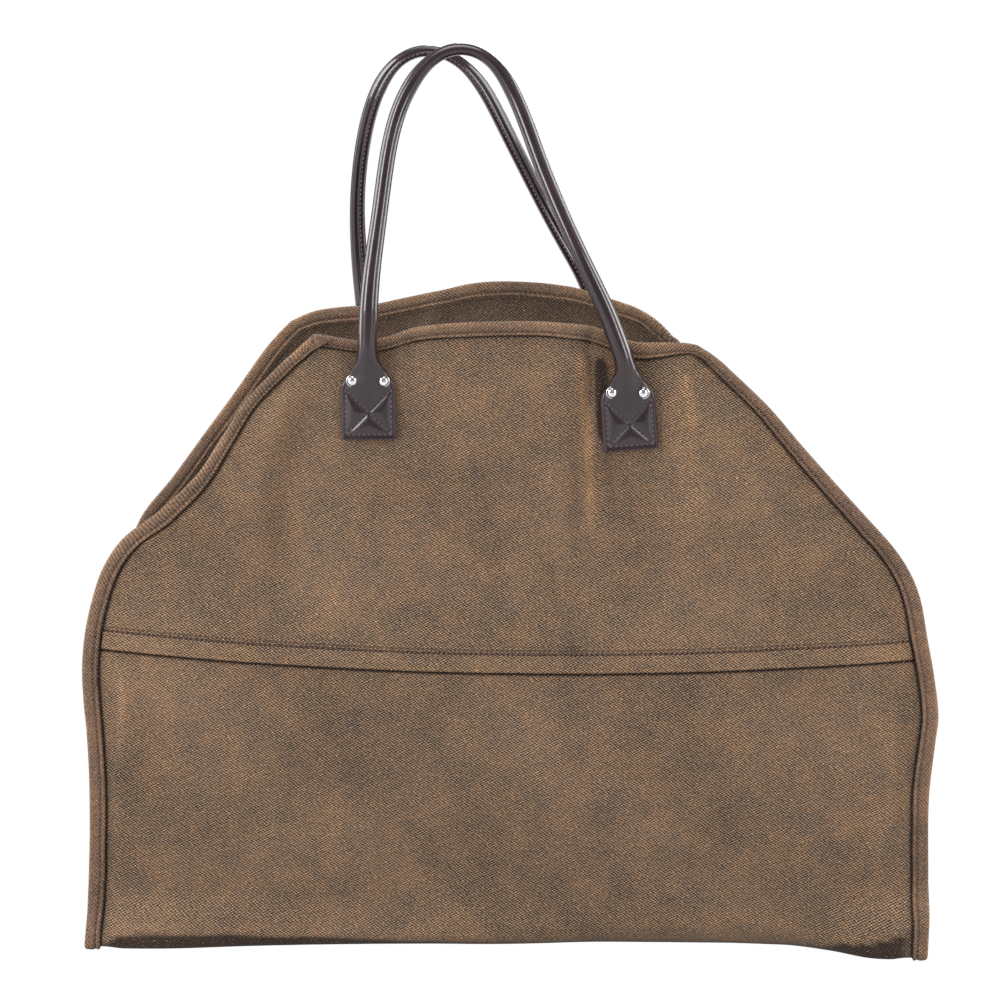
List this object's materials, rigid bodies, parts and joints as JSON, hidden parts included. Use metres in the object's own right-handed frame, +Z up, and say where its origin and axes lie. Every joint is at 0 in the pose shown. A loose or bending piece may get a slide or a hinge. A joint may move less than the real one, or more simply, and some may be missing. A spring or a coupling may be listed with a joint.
{
  "type": "canvas log carrier",
  "caption": "Open waxed canvas log carrier with taped edges, sloping shoulders, low folded gussets at the ends and rolled leather handles riveted to its walls.",
  "frame": {"origin": "the middle of the floor's underside, on the plane that the carrier stands on", "axes": "+X along the carrier to the right, +Y from the front wall to the back wall, +Z up"},
  "size_m": [0.5203, 0.2156, 0.5467],
  "materials": {
    "canvas": "waxed twill canvas, brown, mottled",
    "binding": "folded canvas tape, brown, one row of stitches",
    "leather": "dark purplish brown, glossy",
    "rivet": "polished"
  },
  "bodies": {
    "root": {"base_panel": "canvas", "left_gusset": "canvas", "right_gusset": "canvas", "front_panel": "canvas", "back_panel": "canvas", "edge_binding": "binding", "front_handle": "leather", "back_handle": "leather", "front_rivet_1": "rivet", "front_rivet_2": "rivet", "front_rivet_3": "rivet", "front_rivet_4": "rivet", "back_rivet_1": "rivet", "back_rivet_2": "rivet", "back_rivet_3": "rivet", "back_rivet_4": "rivet"}
  },
  "joints": []
}
